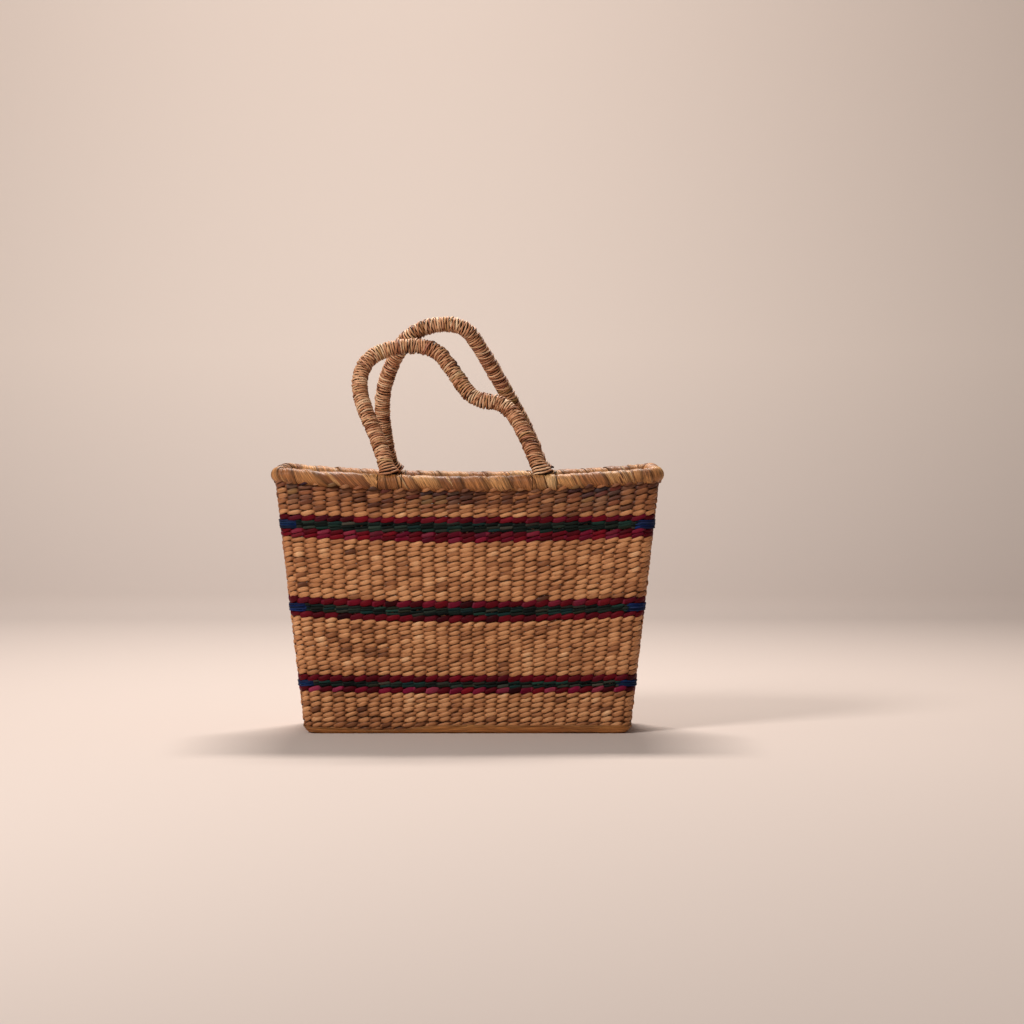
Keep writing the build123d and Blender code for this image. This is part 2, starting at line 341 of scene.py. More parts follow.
def stake_material():
    """Stiff core straw for the stakes, which show only between the stitches."""
    material = bpy.data.materials.new("Core straw")
    material.use_nodes = True
    nodes, links = material.node_tree.nodes, material.node_tree.links
    shader = nodes["Principled BSDF"]
    place = nodes.new("ShaderNodeTexCoord")
    noise = nodes.new("ShaderNodeTexNoise")
    noise.inputs["Scale"].default_value = 400.0
    noise.inputs["Detail"].default_value = 3.0
    links.new(place.outputs["Object"], noise.inputs["Vector"])
    colours = ramp(nodes, [(70, 40, 26), (112, 70, 46), (146, 98, 66)])
    links.new(noise.outputs["Fac"], colours.inputs["Fac"])
    links.new(colours.outputs["Color"], shader.inputs["Base Color"])
    bump = nodes.new("ShaderNodeBump")
    bump.inputs["Distance"].default_value = 0.3 * mm
    links.new(noise.outputs["Fac"], bump.inputs["Height"])
    links.new(bump.outputs["Normal"], shader.inputs["Normal"])
    shader.inputs["Roughness"].default_value = 0.7
    return material


core_straw = stake_material()
for node in ("front_to_back_stakes", "end_to_end_stakes", "corner_stakes", "rim_core"):
    stake = frame["nodes"][node]
    stake.data.materials.clear()
    stake.data.materials.append(core_straw)


# ---- The walls' shape, read from the frame ------------------------------------------------------
wall_thickness = 6 * mm
wall_corner = 14 * mm
base_round = 12 * mm
columns_long = 28
columns_short = 10
columns = 2 * (columns_long + columns_short)
blue_wrap = 17 * mm

mat_low, mat_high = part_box("base_mat")
top_low, top_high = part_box("upper_weave")
core_low, core_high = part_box("rim_core")
core_radius = 5 * mm
roll_radius = 7.5 * mm
rim_end = core_high.x - core_radius
rim_side = core_high.y - core_radius
rim_corner_height = core_high.z - core_radius
rim_middle_height = core_low.z + core_radius


class Ring:
    """A rounded rectangle, followed from the middle of its front side towards +X."""

    def __init__(self, half_length, half_depth, radius):
        self.half_length, self.half_depth, self.radius = half_length, half_depth, radius
        self.across, self.along = half_length - radius, half_depth - radius
        points, outward = [(0, -half_depth)], [(0, -1)]
        quarters = (
            (self.across, -self.along, -90),
            (self.across, self.along, 0),
            (-self.across, self.along, 90),
            (-self.across, -self.along, 180),
        )
        for x, y, start in quarters:
            for step in np.linspace(0, 90, 13):
                angle = math.radians(start + step)
                direction = (math.cos(angle), math.sin(angle))
                outward.append(direction)
                points.append((x + radius * direction[0], y + radius * direction[1]))
        points.append((0, -half_depth))
        outward.append((0, -1))
        self.points = np.array(points)
        self.outward = np.array(outward, float)
        steps = np.linalg.norm(np.diff(self.points, axis=0), axis=1)
        self.at = np.concatenate([[0], np.cumsum(steps)])
        self.length = self.at[-1]
        self.corner = math.pi * radius / 2

    def stakes(self):
        """Distance round the ring to each stake, from the front middle right round to it again."""
        end_middle = self.across + self.corner + self.along
        long_step = 2 * self.half_length / columns_long
        short_step = 2 * self.half_depth / columns_short
        half = [long_step * k for k in range(columns_long // 2)]
        half.append(self.across + self.corner / 2)
        half += [end_middle + short_step * k for k in range(1 - columns_short // 2, columns_short // 2)]
        half.append(self.across + 1.5 * self.corner + 2 * self.along)
        half += [self.length / 2 + long_step * k for k in range(1 - columns_long // 2, 0)]
        half = np.array(half)
        return np.concatenate([half, half + self.length / 2, [self.length]])

    def point(self, distance):
        """Points at distances round the ring, and the outward directions there."""
        distance = distance % self.length
        point = [np.interp(distance, self.at, self.points[:, i]) for i in (0, 1)]
        outward = [np.interp(distance, self.at, self.outward[:, i]) for i in (0, 1)]
        return np.stack(point, -1), unit(np.stack(outward, -1))


def wall_ring(low, high):
    """The middle of the wall's thickness, at the top of a node."""
    half = wall_thickness / 2
    return Ring((high.x - low.x) / 2 - half, (high.y - low.y) / 2 - half, wall_corner - half)


foot_ring = wall_ring(mat_low, mat_high)
top_ring = wall_ring(top_low, top_high)
foot_stakes = foot_ring.stakes()
top_stakes = top_ring.stakes()


def at_column(column, ring, stakes):
    return ring.point(np.interp(column % columns, np.arange(columns + 1), stakes))


def upright(vectors, z):
    """Plan vectors with a height added to each."""
    return np.concatenate([vectors, np.broadcast_to(z, len(vectors))[:, None]], axis=1)


def wall_place(column, height):
    """Points in the middle of the wall, with the outward and upward directions there."""
    low, low_out = at_column(column, foot_ring, foot_stakes)
    high, high_out = at_column(column, top_ring, top_stakes)
    rise = top_high.z - mat_high.z
    share = ((height - mat_high.z) / rise)[:, None]
    plan = low + (high - low) * share
    out = unit(low_out + (high_out - low_out) * share)
    up = unit(upright((high - low) / rise, 1.0))
    level = upright(out, 0.0)
    outward = unit(level - (level * up).sum(1, keepdims=True) * up)
    return upright(plan, height), outward, up


def round_place(column, angle):
    """The same on the base's round, angle below level; its middle is inside the wall's foot."""
    plan, out = at_column(column, foot_ring, foot_stakes)
    reach = base_round - wall_thickness / 2
    sine, cosine = math.sin(angle), math.cos(angle)
    middle = upright(plan - out * reach * (1 - cosine), base_round - reach * sine)
    return middle, upright(out * cosine, -sine), upright(out * sine, cosine)


def droop(column):
    """How far the rows sag at a column: 1 in the middle of a long wall and 0 at its ends."""
    plan, _ = at_column(column, top_ring, top_stakes)
    return 1 - (plan[:, 0] / top_ring.half_length) ** 2


def round_waves(size, slowest=2, fastest=13):
    """Waves that close up round the basket, as a function of the column."""
    counts = np.arange(slowest, fastest)
    sizes = rng.uniform(0.2, 1, len(counts)) * size / math.sqrt(len(counts)) * 2
    starts = rng.uniform(0, 2 * math.pi, len(counts))

    def wave(column):
        return (sizes * np.sin(column[:, None] * counts * 2 * math.pi / columns + starts)).sum(1)

    return wave


# ---- Twined rows ----------------------------------------------------------------------------------
strand_offset = 2.35 * mm  # from the middle of the wall to a strand passing a stake
strand_half = 1.05 * mm  # half a strand's thickness
samples = 8  # sections in each stitch
sides = 8


def stitch_looks(tone, spread, stain=0.0, stain_spread=0.0):
    """Tone, hue and stain for each column's stitch."""
    tones = np.clip(rng.normal(tone, spread, columns), 0, 1)
    stains = np.clip(stain + rng.normal(0, 1, columns) * stain_spread, 0, 1)
    return np.stack([tones, rng.uniform(0, 1, columns), stains], axis=1)


def smooth(values, column):
    """Numbers of each column's stitch, blended from one stitch to the next."""
    return np.interp(column % columns, np.arange(columns + 1), np.append(values, values[0]))


def twined_row(strands, place, spacing, looks, first=0, last=columns, slant=1.15 * mm,
               fullness=0.57, swing=strand_offset, pinch=0.33, crossing=1.5 * mm, roundness=0.95,
               dive=1.2, shade=0.6):
    """Two strands that pass each side of the stakes in turn and cross between them.

    place(column) gives points with outward and upward directions, and spacing(column) the height
    of the row. looks holds the stitch looks of the two strands. fullness and pinch are a strand's
    half height on a stake and at a crossing, as shares of the row's height, and crossing is how
    far outside the wall's middle the strands cross. A stitch with more roundness has longer
    points, one with more dive stays out for longer, and shade is how far its points darken.
    """
    closed = last - first == columns
    count = round((last - first) * samples)
    column = first + np.arange(count if closed else count + 1) / samples
    middle, outward, up = place(column)
    height = spacing(column)
    stitch = np.round(column).astype(int) % columns
    slip = smooth(rng.normal(0, 0.06, columns), column) + rng.uniform(-0.09, 0.09)
    for phase in (0, 1):
        turn = math.pi * (column - phase + slip)
        near = np.abs(np.cos(turn))
        size = smooth(1 + rng.normal(0, 0.1, columns), column)
        proud = smooth(1 + rng.normal(0, 0.09, columns), column)
        lift = smooth(rng.normal(0, 0.2 * mm, columns), column)
        tilt = smooth(slant * (1 + rng.normal(0, 0.15, columns)), column)
        out = np.tanh(dive * np.cos(turn)) / math.tanh(dive) * swing * proud
        out = out + crossing * (1 - near)
        line = middle + out[:, None] * outward + (np.sin(turn) * tilt + lift)[:, None] * up
        tall = height * (pinch + (fullness - pinch) * near**roundness) * size
        thick = strand_half * (0.85 + 0.25 * near) * proud
        rings = tube_rings(line, up, outward, tall, thick, sides)
        length = column * foot_ring.length / columns
        # The points of a stitch are in its neighbours' shade
        shaded = looks[phase][stitch]
        shaded[:, 0] *= 1 - shade + shade * near**0.6
        strands.add(rings, length, shaded, closed)


class Band:
    """A band of the weave between two sagging edges, whose heights come from the CAD nodes."""

    def __init__(self, node, below):
        end_node = node.replace("green", "blue")
        below_end = below.replace("green", "blue")
        self.end_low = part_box(below_end)[1].z
        self.end_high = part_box(end_node)[1].z
        self.middle_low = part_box(node)[0].z
        self.middle_high = None

    def edge(self, column, share):
        sag = droop(column)
        low = self.end_low + (self.middle_low - self.end_low) * sag
        high = self.end_high + (self.middle_high - self.end_high) * sag
        return low + (high - low) * share

    def place(self, share, unevenness=0.3 * mm):
        wave = round_waves(unevenness)
        return lambda column: wall_place(column, self.edge(column, share) + wave(column))

    def spacing(self, rows):
        return lambda column: (self.edge(column, 1) - self.edge(column, 0)) / rows


band_order = ["base_mat", "lower_weave"]
for stripe, weave in (
    ("lower_stripe", "lower_middle_weave"),
    ("middle_stripe", "upper_middle_weave"),
    ("upper_stripe", "upper_weave"),
):
    band_order += [f"{stripe}_maroon_below", f"{stripe}_green", f"{stripe}_maroon_above", weave]
bands = {node: Band(node, below) for below, node in zip(band_order, band_order[1:])}
for node, above in zip(band_order[1:], band_order[2:]):
    bands[node].middle_high = bands[above].middle_low
bands["upper_weave"].middle_high = rim_middle_height - (rim_corner_height - top_high.z)

natural_rows = {
    "lower_weave": 6,
    "lower_middle_weave": 12,
    "upper_middle_weave": 12,
    "upper_weave": 6,
}
rows_a_piece = 6
stain_places = ((-0.175, 0.012), (-0.03, 0.03), (0.13, 0.04))
stake_x = at_column(np.arange(columns), top_ring, top_stakes)[0][:, 0]
for node, rows in natural_rows.items():
    band = bands[node]
    for first in range(0, rows, rows_a_piece):
        strands = Strands()
        for row in range(first, first + rows_a_piece):
            share = (row + 0.5) / rows
            # The straw just under the rim is darker, with old stains
            under_rim = share**0.8 if node == "upper_weave" else 0
            patches = sum(np.exp(-(((stake_x - x) / wide) ** 2)) for x, wide in stain_places)
            stain = patches * under_rim * 0.9
            tone = 0.54 - 0.42 * under_rim + rng.normal(0, 0.03)
            looks = [stitch_looks(tone, 0.15, stain, 0.12 * under_rim) for _ in range(2)]
            twined_row(strands, band.place(share), band.spacing(rows), looks)
        name = f"{node}_straw_{first // rows_a_piece + 1}"
        strands.piece(name, natural_straw, "basket", "natural_straw", node)

# ---- Dyed rows ------------------------------------------------------------------------------------
maroon_rows = {
    "lower_stripe_maroon_below": (1, 0.8),
    "lower_stripe_maroon_above": (1, 0.1),
    "middle_stripe_maroon_below": (1, 0.05),
    "middle_stripe_maroon_above": (1, 0.3),
    "upper_stripe_maroon_below": (2, 0.35),
    "upper_stripe_maroon_above": (1, 0.2),
}
for node, (rows, pink) in maroon_rows.items():
    band = bands[node]
    strands = Strands()
    for row in range(rows):
        looks = [stitch_looks(0.45, 0.2), stitch_looks(0.5, 0.2, pink * 0.8, pink * 0.25)]
        place = band.place((row + 0.5) / rows, 0.2 * mm)
        twined_row(strands, place, band.spacing(rows), looks, slant=1.2 * mm, fullness=0.56,
                   pinch=0.38, crossing=2.1 * mm, roundness=0.7, dive=0.6, shade=0.25)
    strands.piece(f"{node}_straw", maroon_straw, "basket", "maroon_straw", node)

# Green runs along the long walls, and blue goes round the ends as a bundle of thin strands
blue_from = columns_long / 2 * (1 - blue_wrap / top_ring.half_length)
blue_to = columns / 2 - blue_from
green_rows = {"lower_stripe_green": 2, "middle_stripe_green": 3, "upper_stripe_green": 3}
for node, rows in green_rows.items():
    band = bands[node]
    green = Strands()
    blue = Strands()
    for row in range(rows):
        place = band.place((row + 0.5) / rows, 0.35 * mm)
        for start in (-blue_from, columns / 2 - blue_from):
            looks = [stitch_looks(0.45, 0.25, 0.15, 0.3) for _ in range(2)]
            twined_row(green, place, band.spacing(rows), looks, start - 0.2,
                       start + 2 * blue_from + 0.2, slant=0.6 * mm, fullness=0.58, swing=2.0 * mm,
                       pinch=0.48, crossing=1.9 * mm, roundness=0.6, dive=0.6, shade=0.25)
        for start in (blue_from, blue_from + columns / 2):
            looks = [stitch_looks(0.5, 0.25, 0.1, 0.25) for _ in range(2)]
            twined_row(blue, place, band.spacing(rows), looks, start,
                       start + blue_to - blue_from, slant=0.5 * mm, fullness=0.58, swing=2.0 * mm,
                       pinch=0.46, crossing=1.6 * mm, roundness=0.6, dive=0.6, shade=0.25)
    strand_count = rows + 2
    steps = 150
    tuck = np.minimum(np.arange(steps), np.arange(steps)[::-1]) / 12
    for start in (blue_from, blue_from + columns / 2):
        for i in range(strand_count):
            column = np.linspace(start - 0.15, start + blue_to - blue_from + 0.15, steps)
            height = band.edge(column, (i + 0.5) / strand_count) + wander(0.5 * mm, steps, 18)
            middle, outward, up = wall_place(column, height)
            proud = (3.4 * mm + wander(0.3 * mm, steps, 20)) * np.clip(tuck, 0.2, 1) ** 0.5
            line = middle + proud[:, None] * outward
            thick = 0.8 * mm + wander(0.15 * mm, steps, 9)
            tall = (band.edge(column, 1) - band.edge(column, 0)) / strand_count * 0.56
            looks = [rng.uniform(0.2, 0.9), rng.uniform(), rng.uniform(0, 0.4)]
            rings = tube_rings(line, up, outward, tall, thick, sides)
            blue.add(rings, column * 0.012, np.tile(looks, (steps, 1)))
    blue_node = node.replace("green", "blue")
    green.piece(f"{node}_straw", green_straw, "basket", "green_straw", node)
    blue.piece(f"{blue_node}_straw", blue_straw, "basket", "blue_straw", blue_node)

# ---- Base -----------------------------------------------------------------------------------------
flat_base = Strands()
flat_half_length = foot_ring.half_length + wall_thickness / 2 - base_round
flat_half_depth = foot_ring.half_depth + wall_thickness / 2 - base_round
base_rows = 20
base_spacing = 2 * flat_half_depth / base_rows
stake_step = 2 * foot_ring.half_length / columns_long
base_middle = 3.7 * mm
base_swing = 1.7 * mm
for row in range(base_rows):
    y = -flat_half_depth + base_spacing * (row + 0.5)

    def place(column, y=y):
        middle = np.stack([column * stake_step, 0 * column + y, 0 * column + base_middle], -1)
        down = np.tile([0.0, 0.0, -1.0], (len(column), 1))
        across = np.tile([0.0, 1.0, 0.0], (len(column), 1))
        return middle, down, across

    reach = round(flat_half_length / stake_step * samples) / samples
    looks = [stitch_looks(0.45, 0.18) for _ in range(2)]
    twined_row(flat_base, place, lambda column: 0 * column + base_spacing, looks, -reach, reach,
               swing=base_swing)
flat_base.piece("base_straw", natural_straw, "basket", "natural_straw", "base_mat")

round_base = Strands()
for angle in (14, 42, 70):
    looks = [stitch_looks(0.45, 0.18) for _ in range(2)]
    twined_row(
        round_base,
        lambda column: round_place(column, math.radians(angle)),
        lambda column: 0 * column + 4.9 * mm,
        looks,
        swing=base_swing,
    )
round_base.piece("base_round_straw", natural_straw, "basket", "natural_straw", "base_mat")

# A broad flat strand follows the round, creased along its length, and thins towards one side
edge_strand = Strands()
column = np.arange(columns * 10) / 10
plan, out = at_column(column, foot_ring, foot_stakes)
thinning = np.exp(-(((column - (columns - 8)) / 6) ** 2))
top_angle = np.radians(12 + 28 * thinning) + round_waves(0.06)(column)
bottom_angle = np.radians(68) + round_waves(0.04)(column)
face = np.linspace(0, 1, 14)
angles = top_angle[:, None] + (bottom_angle - top_angle)[:, None] * face
creases = sum(
    size * np.sin(2 * math.pi * (count * face + round_waves(0.5)(column)[:, None]))
    for size, count in ((0.22 * mm, 2.2), (0.14 * mm, 4.6))
)
reach = wall_thickness / 2
faces = []
for radius, order in ((base_round + 0.9 * mm + creases, 1), (base_round - 0.3 * mm + creases, -1)):
    level = reach - base_round + radius * np.cos(angles)
    height = np.maximum(base_round - radius * np.sin(angles), 0.2 * mm)
    spots = plan[:, None] + out[:, None] * level[..., None]
    faces.append(np.concatenate([spots, height[..., None]], axis=-1)[:, ::order])
looks = np.stack([
    0.5 + round_waves(0.12)(column),
    0.5 + round_waves(0.3)(column),
    np.clip(round_waves(0.15)(column), 0, 1),
], -1)
edge_length = column * foot_ring.length / columns
edge_strand.add(np.concatenate(faces, axis=1), edge_length, looks, closed=True)
edge_strand.piece("base_edge_straw", edge_straw, "basket", "broad_straw", "base_edge_strand")


# ---- Rim ------------------------------------------------------------------------------------------
rim_ring = Ring(rim_end, rim_side, 13 * mm)


def rim_place(distance):
    """Points on the rim's axis, with the level outward direction and the one square to both."""
    plan, out = rim_ring.point(distance)
    share = plan[:, 0] / rim_ring.half_length
    height = rim_corner_height + (rim_middle_height - rim_corner_height) * (1 - share**2)
    return upright(plan, height), upright(out, 0.0), np.tile([0.0, 0.0, 1.0], (len(plan), 1))


def wrap(strands, place, start, end, lead, radius, thick=1.0 * mm, steps=24, faces=24,
         breadth=1.45, tones=(0.5, 0.35)):
    """A creased strand wound round an axis from start to end.

    lead(distance) is its pitch, breadth its width as a share of that, and tones its middle tone
    and how far it strays.
    """
    spare = 0.4 * breadth * lead(np.array([start, end]))
    fine = np.linspace(start - spare[0], end + spare[1], 400)
    turns = np.concatenate([[0], np.cumsum(np.diff(fine) / lead((fine[1:] + fine[:-1]) / 2))])
    turn = np.linspace(0, turns[-1], max(8, int(turns[-1] * steps)))
    along = np.interp(turn, turns, fine)
    pitch = lead(along)
    count = len(turn)
    width = pitch * breadth * (1 + wander(0.12, count, int(turns[-1] * 3) + 2))
    across = np.linspace(-0.5, 0.5, faces)
    angle = 2 * math.pi * (turn + rng.uniform())
    fold_one = wander(0.5, count, int(turns[-1] * 2) + 2)[:, None]
    fold_two = wander(0.6, count, int(turns[-1] * 3) + 2)[:, None]
    # Creases are sharp valleys between rounded folds
    creases = 1.0 * mm * np.abs(np.sin(math.pi * (1.6 * across + fold_one))) ** 0.6
    creases = creases + 0.8 * mm * np.abs(np.sin(math.pi * (5.1 * across + fold_two))) ** 0.6
    creases = creases * min(breadth, 1)
    height = radius + across * 1.5 * thick + creases - 1.2 * mm
    height = height + wander(0.35 * mm, count, count // 12 + 2)[:, None]
    # The strand's own edges are thin and turn down
    edge = 1 - np.abs(2 * across) ** 4
    rings = []
    for side, order in ((0.5, 1), (-0.5, -1)):
        reach = height + side * thick * (0.25 + 0.75 * edge) - 0.25 * mm * (1 - edge)
        spot = np.clip(along[:, None] + across * width[:, None], start, end)
        centre, outward, up = place(spot.ravel())
        shape = (count, faces, 3)
        centre, outward, up = (v.reshape(shape) for v in (centre, outward, up))
        sine, cosine = np.sin(angle)[:, None, None], np.cos(angle)[:, None, None]
        points = centre + reach[..., None] * (outward * sine + up * cosine)
        rings.append(points[:, ::order])
    tone = tones[0] + wander(tones[1], count, int(turns[-1] * 2) + 2)
    hue = 0.5 + wander(0.5, count, int(turns[-1]) + 2)
    stain = np.clip(wander(0.4, count, int(turns[-1] * 2) + 2), 0, 1)
    looks = np.stack([tone, hue, stain], -1)
    length = turn * 2 * math.pi * radius
    strands.add(np.concatenate(rings, axis=1), length, looks)


foot_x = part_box("rim_wrap_front")[1].x + 12.5 * mm
eye_half = 12 * mm
corner_middle = rim_ring.across + rim_ring.corner / 2
corner_places = np.array([corner_middle, rim_ring.length / 2 - corner_middle])
corner_places = np.concatenate([corner_places, corner_places + rim_ring.length / 2])


def rim_lead(distance):
    """The wrap is close at the corners and longest on the front's left part."""
    half = rim_ring.length / 2
    away = np.abs((distance[:, None] - corner_places + half) % rim_ring.length - half).min(1)
    from_left = np.abs((distance + 135 * mm + half) % rim_ring.length - half)
    stretch = 22 * mm * np.exp(-((from_left / (38 * mm)) ** 2))
    return 9 * mm + 15 * mm * np.clip((away - 14 * mm) / (20 * mm), 0, 1) + stretch


half_round = rim_ring.length / 2
half_gap = 12.5 * mm
front_run = (-foot_x + half_gap, foot_x - half_gap)
side_run = (foot_x + half_gap, half_round - foot_x - half_gap)
rim_runs = {
    "rim_wrap_front": front_run,
    "rim_wrap_right": side_run,
    "rim_wrap_back": (front_run[0] + half_round, front_run[1] + half_round),
    "rim_wrap_left": (side_run[0] + half_round, side_run[1] + half_round),
}
wrap_radius = roll_radius - 0.4 * mm
for node, (start, end) in rim_runs.items():
    strands = Strands()
    wrap(strands, rim_place, start, end, rim_lead, wrap_radius, tones=(0.5, 0.28))
    # Split straws lie over the broad strand, some darker and some paler
    for middle_tone in (0.15, 0.5, 0.85, 0.3):
        wrap(strands, rim_place, start, end, rim_lead, wrap_radius + 0.8 * mm, 0.7 * mm,
             faces=6, breadth=0.17, tones=(middle_tone, 0.3))
    strands.piece(f"{node}_straw", broad_straw, "basket", "broad_straw", node)

# The top row is drawn up round the roll's lower side, in dark uneven stitches
edging_drop = 5.4 * mm
edging_wave = round_waves(0.5 * mm)


def edging_place(column):
    distance = np.interp(column % columns, np.arange(columns + 1), rim_ring.stakes())
    middle, outward, up = rim_place(distance)
    # The row dips under the handles' eyes, which turn on the rim
    from_eyes = np.abs(np.abs(middle[:, 0]) - foot_x)
    dip = np.clip(2 - from_eyes / (9 * mm), 0, 1) * (np.abs(outward[:, 1]) > 0.9)
    middle = middle - (1.2 * mm * dip)[:, None] * outward
    middle[:, 2] -= edging_drop + edging_wave(column) + 2.0 * mm * dip
    return middle, outward, up


edging = Strands()
looks = [stitch_looks(0.3, 0.2, 0.25, 0.3) for _ in range(2)]
twined_row(edging, edging_place, lambda column: 0 * column + 4.6 * mm, looks, slant=1.6 * mm,
           swing=5.0 * mm)
edging.piece("rim_edging_straw", natural_straw, "basket", "natural_straw", "upper_weave")

# ---- Handles --------------------------------------------------------------------------------------
lean = math.radians(24.5)
winding_pitch = 2.7 * mm
winding_radius = 6.8 * mm
foot_height = 20.3 * mm
foot_flare = 4.2 * mm
foot_depth_flare = 1.0 * mm
foot_saddle = 9.3 * mm
crossing_pitch = 13 * mm
handle_routes = {
    "front": [(-79, 0), (-87, 38), (-112, 95), (-110, 132), (-84, 151), (-36, 154), (-15, 125),
              (5, 91), (38, 89), (58, 59), (79, 0)],
    "back": [(-79, 0), (-87, 38), (-92, 88), (-83, 126), (-60, 172), (-6, 181), (16, 145),
             (42, 95), (65, 48), (79, 0)],
}


def rounded(route):
    """A smooth curve through the middles of the route's runs, and the distance along it."""
    corners = np.array(route) * mm
    middles = (corners[1:] + corners[:-1]) / 2
    share = np.linspace(0, 1, 40, endpoint=False)[:, None]
    parts = [corners[0] + (middles[0] - corners[0]) * share]
    for before, corner, after in zip(middles, corners[1:-1], middles[1:]):
        parts.append((1 - share) ** 2 * before + 2 * share * (1 - share) * corner + share**2 * after)
    parts.append(middles[-1] + (corners[-1] - middles[-1]) * np.append(share, [[1]], axis=0))
    points = np.concatenate(parts)
    at = np.concatenate([[0], np.cumsum(np.linalg.norm(np.diff(points, axis=0), axis=1))])
    return points, at


joints = {joint["name"]: joint for joint in frame["joints"]}
for name, route in handle_routes.items():
    hinge = np.array(joints[f"{name}_handle_swing"]["pos_m"], float)
    towards = 1 if name == "front" else -1
    side_axis = np.array([1.0, 0.0, 0.0])
    up_axis = np.array([0.0, towards * math.sin(lean), math.cos(lean)])
    face_axis = np.cross(side_axis, up_axis)
    points, at = rounded(route)
    total = at[-1]

    # The saddle over the roll lifts the feet, so the turns are evenly spaced above it
    turns = int((total - 2 * foot_saddle) / winding_pitch)
    steps = 16
    turn = np.arange(turns * steps + 1) / steps
    count = len(turn)
    lifted = foot_saddle + turn * (total - 2 * foot_saddle) / turns
    lifted = lifted + wander(0.4 * mm, count, turns // 3)
    along = np.interp(
        lifted,
        [foot_saddle, foot_height, total - foot_height, total - foot_saddle],
        [0, foot_height, total - foot_height, total],
    )
    flat = np.stack([np.interp(along, at, points[:, i]) for i in (0, 1)], -1)
    ahead = np.stack([np.interp(along + 1.5 * mm, at, points[:, i]) for i in (0, 1)], -1)
    behind = np.stack([np.interp(along - 1.5 * mm, at, points[:, i]) for i in (0, 1)], -1)
    tangent = unit(ahead - behind)
    normal = np.stack([-tangent[:, 1], tangent[:, 0]], -1)
    foot = np.clip(1 - np.minimum(along, total - along) / foot_height, 0, 1)
    angle = 2 * math.pi * turn
    unevenness = wander(0.45 * mm, count, turns)
    radius = winding_radius + foot_flare * foot**2 + unevenness
    depth = (winding_radius + foot_depth_flare * foot**2 + unevenness) * np.sin(angle)
    skew = wander(1.7 * mm, count, turns // 7) * np.cos(angle + wander(2, count, turns // 12))
    spot = flat + tangent * skew[:, None] + normal * (radius * np.cos(angle))[:, None]
    spot[:, 1] += np.sqrt(np.clip(foot_saddle**2 - depth**2, 0, None)) * foot

    def spread(vectors):
        """Vectors in the handle's own plane, in the frame's axes."""
        return vectors[:, :1] * side_axis + vectors[:, 1:] * up_axis

    outward = spread(normal * np.cos(angle)[:, None]) + np.sin(angle)[:, None] * face_axis
    line = hinge + spread(spot) + depth[:, None] * face_axis
    wide = winding_pitch * (0.42 + wander(0.08, count, 2 * turns))
    thick = 1.4 * mm * (1 + wander(0.25, count, 2 * turns))
    looks = np.stack([
        0.62 + wander(0.15, count, turns // 5) + wander(0.42, count, 2 * turns),
        0.5 + wander(0.5, count, turns // 2),
        np.clip(wander(0.6, count, turns // 2), 0, 1),
    ], -1)
    wound = Strands()
    rings = tube_rings(line, spread(tangent), outward, wide, thick, 8)
    wound.add(rings, turn * 2 * math.pi * winding_radius, looks)

    # Loose ends of straw cross the turns here and there, wound the other way
    cross_turns = int((total - 2 * foot_height) / crossing_pitch)
    for share in (0.0, 0.37, 0.71):
        cross_turn = np.arange(cross_turns * 20 + 1) / 20
        cross_count = len(cross_turn)
        cross_along = foot_height + cross_turn / cross_turns * (total - 2 * foot_height)
        cross_flat = np.stack([np.interp(cross_along, at, points[:, i]) for i in (0, 1)], -1)
        cross_ahead = np.stack([np.interp(cross_along + mm, at, points[:, i]) for i in (0, 1)], -1)
        cross_tangent = unit(cross_ahead - cross_flat)
        cross_normal = np.stack([-cross_tangent[:, 1], cross_tangent[:, 0]], -1)
        cross_angle = -2 * math.pi * (cross_turn + share) + wander(0.9, cross_count, cross_turns)
        level = spread(cross_normal) * np.cos(cross_angle)[:, None]
        cross_out = level + np.sin(cross_angle)[:, None] * face_axis
        # Each end dips under the turns for part of its way
        reach = winding_radius + 0.75 * mm + wander(0.9 * mm, cross_count, 2 * cross_turns)
        cross_line = hinge + spread(cross_flat) + reach[:, None] * cross_out
        heading = unit(np.gradient(cross_line, axis=0))
        cross_wide = 0.9 * mm + wander(0.25 * mm, cross_count, cross_turns)
        cross_looks = np.stack([
            0.5 + wander(0.45, cross_count, 2 * cross_turns),
            0.5 + wander(0.5, cross_count, cross_turns),
            np.clip(wander(0.6, cross_count, cross_turns), 0, 1),
        ], -1)
        cross_rings = tube_rings(cross_line, unit(np.cross(heading, cross_out)), cross_out,
                                 cross_wide, 0 * cross_wide + 0.6 * mm, 6)
        wound.add(cross_rings, cross_along * 3, cross_looks)

    # A lining closes the gaps between turns, in the darkest tone: painted shade deep between them
    lining_foot = foot[::steps]
    inner = hinge + spread(flat[::steps]) + (foot_saddle * lining_foot)[:, None] * up_axis
    size = winding_radius - 0.9 * mm + foot_flare * lining_foot**2
    thin = winding_radius - 0.9 * mm + foot_depth_flare * lining_foot**2
    gap_shade_lining = tube_rings(inner, spread(normal[::steps]), np.tile(face_axis, (len(inner), 1)),
                        size, thin, 12, 0)
    wound.add(gap_shade_lining, np.arange(len(inner)) * 5 * mm, np.zeros((len(inner), 3)))
    nodes = [f"{name}_handle_{part}" for part in ("winding", "left_lashing", "right_lashing")]
    wound.piece(f"{name}_handle_straw", wound_straw, f"{name}_handle", "wound_straw", *nodes)

    def eye_place(distance):
        centre = np.stack([distance, 0 * distance + hinge[1], 0 * distance + hinge[2]], -1)
        out = np.tile([0.0, -1.0 * towards, 0.0], (len(distance), 1))
        return centre, out, np.tile([0.0, 0.0, 1.0], (len(distance), 1))

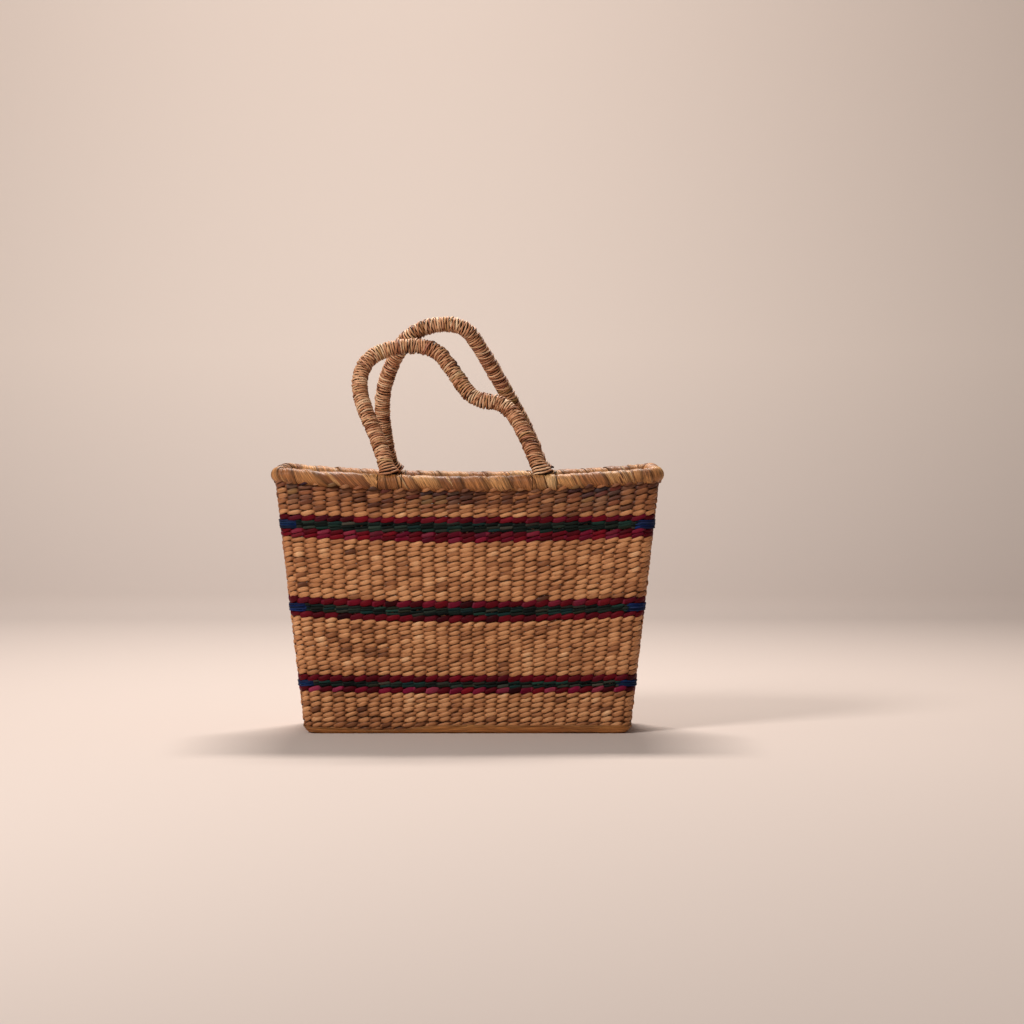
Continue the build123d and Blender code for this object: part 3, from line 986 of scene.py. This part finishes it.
    eyes = Strands()
    for middle in (-foot_x, foot_x):
        wrap(eyes, eye_place, middle - eye_half, middle + eye_half, lambda s: 0 * s + 11 * mm,
             wrap_radius, tones=(0.62, 0.3))
        for middle_tone in (0.2, 0.9):
            wrap(eyes, eye_place, middle - eye_half, middle + eye_half,
                 lambda s: 0 * s + 14 * mm, wrap_radius + 0.8 * mm, 0.7 * mm, faces=6,
                 breadth=0.24, tones=(middle_tone, 0.3))
    core = f"{name}_handle_core"
    eyes.piece(f"{name}_handle_eyes", broad_straw, f"{name}_handle", "wound_straw", core)


# ---- Floor, light and camera ----------------------------------------------------------------------
def backdrop_material():
    """Plain matt paper, painted a little paler where it rises behind the basket: painted light for a
    brighter-lit wall.
    """
    material = bpy.data.materials.new("Backdrop")
    material.use_nodes = True
    nodes, links = material.node_tree.nodes, material.node_tree.links
    shader = nodes["Principled BSDF"]
    place = nodes.new("ShaderNodeTexCoord")
    parts = nodes.new("ShaderNodeSeparateXYZ")
    links.new(place.outputs["Object"], parts.inputs["Vector"])
    # Painted light: the colour grows paler with height, standing in for more light on the rising wall
    rise = nodes.new("ShaderNodeMapRange")
    rise.inputs["From Min"].default_value = 0.02
    rise.inputs["From Max"].default_value = 0.4
    links.new(parts.outputs["Z"], rise.inputs["Value"])
    colours = ramp(nodes, [(199, 186, 179), (216, 202, 193)])
    links.new(rise.outputs["Result"], colours.inputs["Fac"])
    links.new(colours.outputs["Color"], shader.inputs["Base Color"])
    shader.inputs["Roughness"].default_value = 0.9
    shader.inputs["Specular IOR Level"].default_value = 0.1
    return material


# The paper rises well behind the basket, to leave room for a look at its back
sweep_start = 2.1
sweep_radius = 1.0
half_width = 12.0
profile = [(-half_width, 0.0), (sweep_start, 0.0)]
for step in range(1, 25):
    angle = math.radians(90 * step / 24)
    y = sweep_start + sweep_radius * math.sin(angle)
    profile.append((y, sweep_radius * (1 - math.cos(angle))))
profile.append((sweep_start + sweep_radius, 6.0))
floor_points = [(x, y, z) for y, z in profile for x in (-half_width, half_width)]
floor_faces = [(2 * i, 2 * i + 1, 2 * i + 3, 2 * i + 2) for i in range(len(profile) - 1)]
floor_mesh = bpy.data.meshes.new("floor")
floor_mesh.from_pydata(floor_points, [], floor_faces)
for polygon in floor_mesh.polygons:
    polygon.use_smooth = True
floor_mesh.materials.append(backdrop_material())
floor = bpy.data.objects.new("floor", floor_mesh)
bpy.context.scene.collection.objects.link(floor)


def area_light(name, location, target, size, energy, colour):
    """A rectangular light; size is its width and height."""
    data = bpy.data.lights.new(name, "AREA")
    data.shape = "RECTANGLE"
    data.size, data.size_y = size
    data.energy = energy
    data.color = colour
    light = bpy.data.objects.new(name, data)
    light.location = location
    light.rotation_euler = (Vector(target) - Vector(location)).to_track_quat("-Z", "Y").to_euler()
    bpy.context.scene.collection.objects.link(light)


area_light("key", (-1.5, -1.65, 1.9), (0, 0, 0.2), (0.7, 0.7), 56, (1.0, 0.95, 0.9))
area_light("top", (0.0, 1.0, 1.8), (0, -4.5, 0), (0.7, 0.35), 65, (1.0, 0.94, 0.88))
area_light("fill", (2.2, -2.4, 1.2), (0, 0, 0.2), (2.5, 2.5), 4, (1.0, 0.95, 0.9))
area_light("backdrop", (-0.2, 1.4, 1.6), (-0.3, 2.9, 0.2), (0.8, 0.4), 26, (1.0, 0.96, 0.92))

world = bpy.data.worlds.new("Studio")
world.use_nodes = True
world.node_tree.nodes["Background"].inputs["Color"].default_value = (1.0, 0.95, 0.91, 1.0)
world.node_tree.nodes["Background"].inputs["Strength"].default_value = 0.16
bpy.context.scene.world = world
bpy.context.scene.view_settings.view_transform = "Standard"

camera_data = bpy.data.cameras.new("camera")
camera_data.sensor_width = 36
camera_data.lens = 124.66
camera = bpy.data.objects.new("camera", camera_data)
front_of_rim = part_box("rim_wrap_front")[0].y
camera.location = (0.0457, front_of_rim - 3.6, 0.379)
camera.rotation_euler = (math.radians(87.6), 0, 0)
bpy.context.scene.collection.objects.link(camera)
bpy.context.scene.camera = camera
